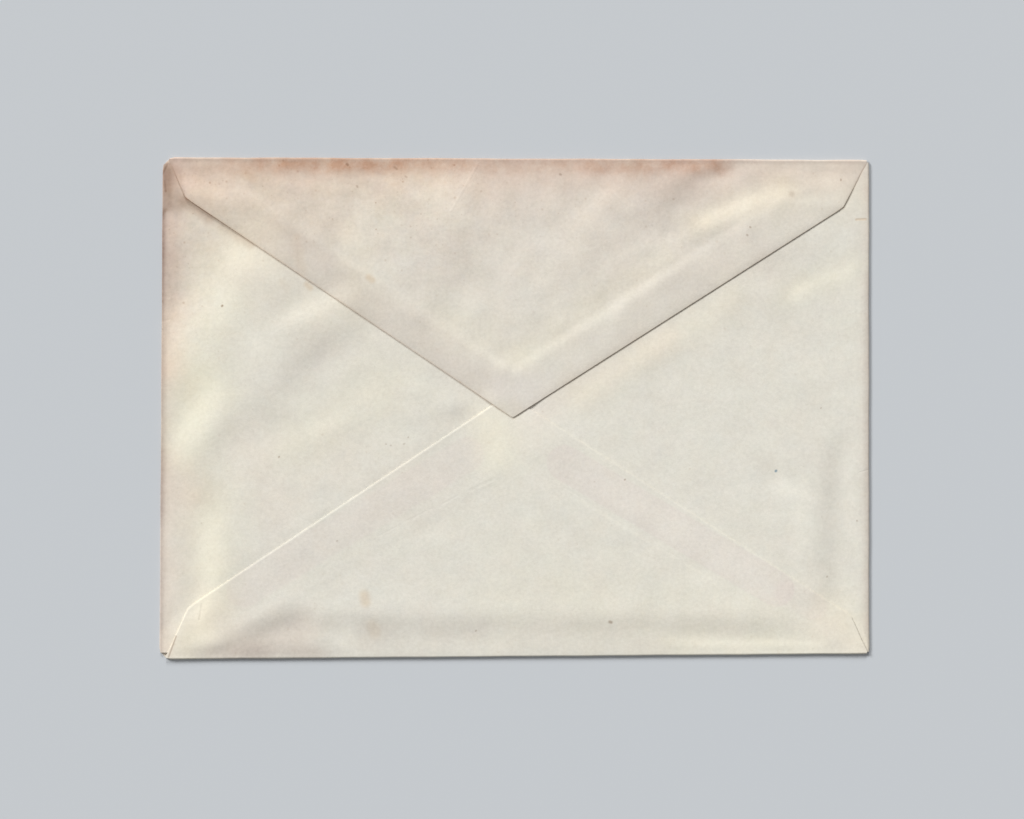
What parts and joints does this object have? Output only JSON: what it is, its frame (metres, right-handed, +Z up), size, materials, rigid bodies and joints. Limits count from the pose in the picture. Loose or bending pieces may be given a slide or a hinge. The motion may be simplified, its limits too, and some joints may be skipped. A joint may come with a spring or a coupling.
{
  "type": "paper envelope",
  "caption": "Small letter envelope of cream paper with pointed diamond flaps, gummed side seams and an unsealed seal flap, lying front down with its back up.",
  "frame": {"origin": "middle of the outline on the face that the envelope rests on, the outside of the front panel", "axes": "+X along the long folds to the right as the back is seen, +Y from the bottom fold to the top fold, +Z up out of the back"},
  "size_m": [0.1624, 0.1148, 0.0009],
  "materials": {
    "paper": "aged cream writing paper, matt, with faint brown staining along the top fold"
  },
  "bodies": {
    "root": {"envelope": "paper"}
  },
  "joints": []
}
